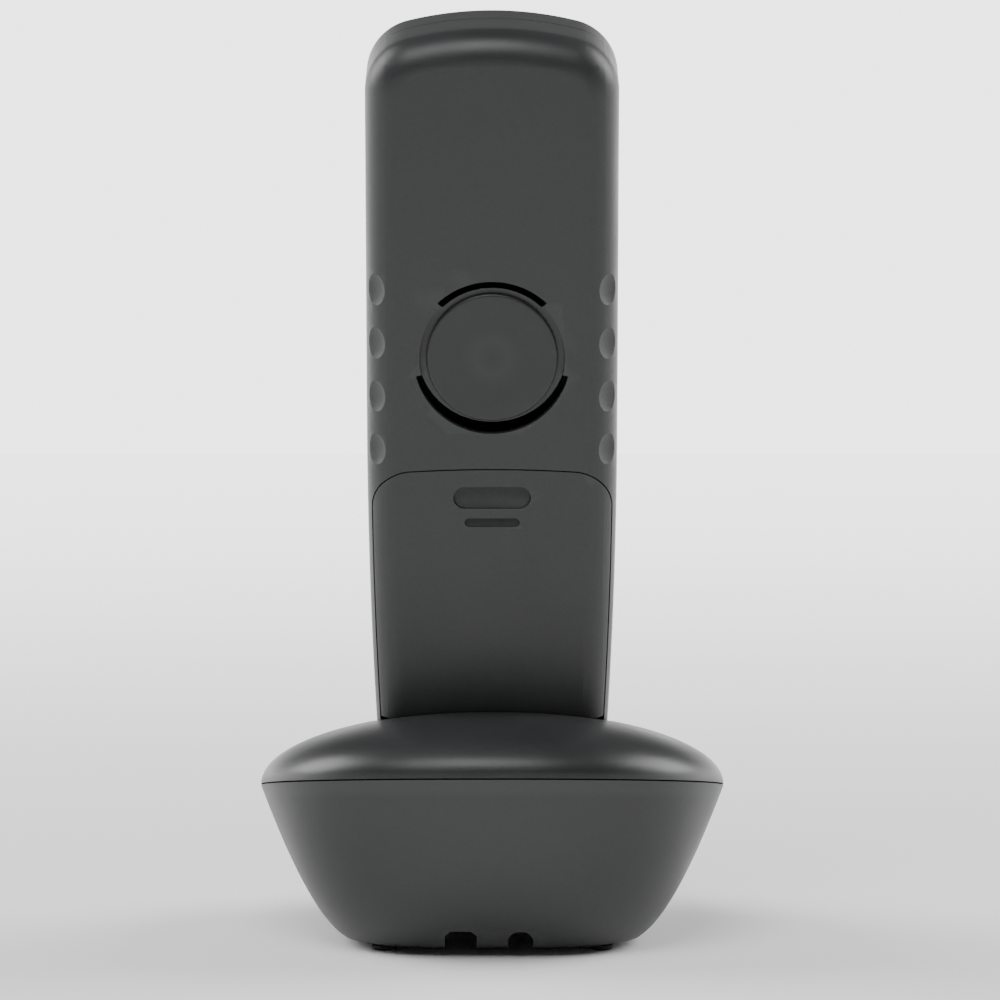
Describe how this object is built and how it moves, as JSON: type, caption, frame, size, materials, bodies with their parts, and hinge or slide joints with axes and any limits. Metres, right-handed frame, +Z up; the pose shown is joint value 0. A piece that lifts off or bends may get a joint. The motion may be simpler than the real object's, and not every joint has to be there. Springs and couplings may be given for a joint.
{
  "type": "cordless telephone with charging base",
  "caption": "Slim cordless telephone handset with a keypad, display, rear ringer disc and battery cover, standing upright in a pebble-shaped charging base.",
  "frame": {"origin": "on the floor under the middle of the base", "axes": "+Z up; keypad side faces -Y; back of the handset faces +Y; +X to the right seen from the keypad side"},
  "size_m": [0.0961, 0.088, 0.1925],
  "materials": {
    "housing": "satin moulded ABS, fine texture",
    "trim": "satin moulded ABS",
    "key_plastic": "satin keycap plastic",
    "navigation_plastic": "lacquered ring",
    "talk_plastic": "green keycap",
    "end_plastic": "red keycap",
    "board": "solder mask on glass-epoxy board",
    "sheet_metal": "nickel-plated steel",
    "gold_contact": "gold-flashed contact",
    "components": "moulded component bodies",
    "socket_plastic": "moulded nylon",
    "rubber_part": "matt elastomer",
    "foam": "soft foam and cloth",
    "speaker": "speaker frame",
    "cell_jacket": "plastic-sleeved cell",
    "lens": "clear acrylic window",
    "display": "dark display panel"
  },
  "bodies": {
    "base": {"base_upper_housing": "housing", "base_lower_housing": "housing", "base_circuit_board": "board", "base_shield_can": "sheet_metal", "base_components": "components", "line_socket": "socket_plastic", "power_socket": "socket_plastic", "base_feet": "rubber_part", "base_screws": "sheet_metal", "paging_switch": "components"},
    "handset": {"rear_housing": "housing", "front_housing": "housing", "ringer_cover": "trim", "ringer_speaker": "speaker", "ringer_gasket": "foam", "battery_cell_left": "cell_jacket", "battery_cell_right": "cell_jacket", "battery_springs": "sheet_metal", "battery_plates": "sheet_metal", "handset_screws": "sheet_metal", "display_lens": "lens", "display_module": "display", "display_backlight": "components", "keypad_mat": "rubber_part", "handset_circuit_board": "board", "handset_shield_can": "sheet_metal", "earpiece_mesh": "foam", "key_domes": "sheet_metal", "earpiece_speaker": "speaker", "microphone": "speaker", "microphone_boot": "rubber_part", "charge_pads": "gold_contact"},
    "battery_cover": {"battery_cover": "housing"},
    "paging_key": {"paging_key": "trim"},
    "charge_contacts": {"charge_contacts": "gold_contact"},
    "navigation_key": {"navigation_key": "navigation_plastic"},
    "navigation_button": {"navigation_button": "key_plastic"},
    "key_one": {"key_one": "key_plastic"},
    "key_two": {"key_two": "key_plastic"},
    "key_three": {"key_three": "key_plastic"},
    "key_four": {"key_four": "key_plastic"},
    "key_five": {"key_five": "key_plastic"},
    "key_six": {"key_six": "key_plastic"},
    "key_seven": {"key_seven": "key_plastic"},
    "key_eight": {"key_eight": "key_plastic"},
    "key_nine": {"key_nine": "key_plastic"},
    "key_star": {"key_star": "key_plastic"},
    "key_zero": {"key_zero": "key_plastic"},
    "key_hash": {"key_hash": "key_plastic"},
    "talk_key": {"talk_key": "talk_plastic"},
    "end_key": {"end_key": "end_plastic"},
    "left_soft_key": {"left_soft_key": "key_plastic"},
    "right_soft_key": {"right_soft_key": "key_plastic"}
  },
  "joints": [
    {"name": "handset_lift", "type": "slide", "parent": "base", "child": "handset", "axis": [0, 0.1736, 0.9848], "range_m": [0, 0.06]},
    {"name": "battery_cover_swing", "type": "hinge", "parent": "handset", "child": "battery_cover", "pos_m": [0, 0.01178, 0.04727], "axis": [-1, 0, 0], "range_deg": [0, 18]},
    {"name": "navigation_key_rock", "type": "hinge", "parent": "handset", "child": "navigation_key", "pos_m": [0, -0.00191, 0.10797], "axis": [1, 0, 0], "range_deg": [-2, 2], "stiffness_Nm_per_rad": 0.02},
    {"name": "navigation_button_press", "type": "slide", "parent": "handset", "child": "navigation_button", "axis": [0, 0.9848, -0.1736], "range_m": [0, 0.0006], "stiffness_N_per_m": 300, "springref_m": -0.0005},
    {"name": "paging_key_press", "type": "slide", "parent": "base", "child": "paging_key", "axis": [0, 0.1819, -0.9833], "range_m": [0, 0.0008], "stiffness_N_per_m": 300, "springref_m": -0.0005},
    {"name": "charge_contacts_sink", "type": "slide", "parent": "base", "child": "charge_contacts", "axis": [0, -0.1736, -0.9848], "range_m": [0, 0.0008], "stiffness_N_per_m": 300, "springref_m": -0.0005},
    {"name": "key_one_press", "type": "slide", "parent": "handset", "child": "key_one", "axis": [0, 0.9848, -0.1736], "range_m": [0, 0.0008], "stiffness_N_per_m": 300, "springref_m": -0.0005},
    {"name": "key_two_press", "type": "slide", "parent": "handset", "child": "key_two", "axis": [0, 0.9848, -0.1736], "range_m": [0, 0.0008], "stiffness_N_per_m": 300, "springref_m": -0.0005},
    {"name": "key_three_press", "type": "slide", "parent": "handset", "child": "key_three", "axis": [0, 0.9848, -0.1736], "range_m": [0, 0.0008], "stiffness_N_per_m": 300, "springref_m": -0.0005},
    {"name": "key_four_press", "type": "slide", "parent": "handset", "child": "key_four", "axis": [0, 0.9848, -0.1736], "range_m": [0, 0.0008], "stiffness_N_per_m": 300, "springref_m": -0.0005},
    {"name": "key_five_press", "type": "slide", "parent": "handset", "child": "key_five", "axis": [0, 0.9848, -0.1736], "range_m": [0, 0.0008], "stiffness_N_per_m": 300, "springref_m": -0.0005},
    {"name": "key_six_press", "type": "slide", "parent": "handset", "child": "key_six", "axis": [0, 0.9848, -0.1736], "range_m": [0, 0.0008], "stiffness_N_per_m": 300, "springref_m": -0.0005},
    {"name": "key_seven_press", "type": "slide", "parent": "handset", "child": "key_seven", "axis": [0, 0.9848, -0.1736], "range_m": [0, 0.0008], "stiffness_N_per_m": 300, "springref_m": -0.0005},
    {"name": "key_eight_press", "type": "slide", "parent": "handset", "child": "key_eight", "axis": [0, 0.9848, -0.1736], "range_m": [0, 0.0008], "stiffness_N_per_m": 300, "springref_m": -0.0005},
    {"name": "key_nine_press", "type": "slide", "parent": "handset", "child": "key_nine", "axis": [0, 0.9848, -0.1736], "range_m": [0, 0.0008], "stiffness_N_per_m": 300, "springref_m": -0.0005},
    {"name": "key_star_press", "type": "slide", "parent": "handset", "child": "key_star", "axis": [0, 0.9848, -0.1736], "range_m": [0, 0.0008], "stiffness_N_per_m": 300, "springref_m": -0.0005},
    {"name": "key_zero_press", "type": "slide", "parent": "handset", "child": "key_zero", "axis": [0, 0.9848, -0.1736], "range_m": [0, 0.0008], "stiffness_N_per_m": 300, "springref_m": -0.0005},
    {"name": "key_hash_press", "type": "slide", "parent": "handset", "child": "key_hash", "axis": [0, 0.9848, -0.1736], "range_m": [0, 0.0008], "stiffness_N_per_m": 300, "springref_m": -0.0005},
    {"name": "talk_key_press", "type": "slide", "parent": "handset", "child": "talk_key", "axis": [0, 0.9848, -0.1736], "range_m": [0, 0.0008], "stiffness_N_per_m": 300, "springref_m": -0.0005},
    {"name": "end_key_press", "type": "slide", "parent": "handset", "child": "end_key", "axis": [0, 0.9848, -0.1736], "range_m": [0, 0.0008], "stiffness_N_per_m": 300, "springref_m": -0.0005},
    {"name": "left_soft_key_press", "type": "slide", "parent": "handset", "child": "left_soft_key", "axis": [0, 0.9848, -0.1736], "range_m": [0, 0.0008], "stiffness_N_per_m": 300, "springref_m": -0.0005},
    {"name": "right_soft_key_press", "type": "slide", "parent": "handset", "child": "right_soft_key", "axis": [0, 0.9848, -0.1736], "range_m": [0, 0.0008], "stiffness_N_per_m": 300, "springref_m": -0.0005}
  ]
}
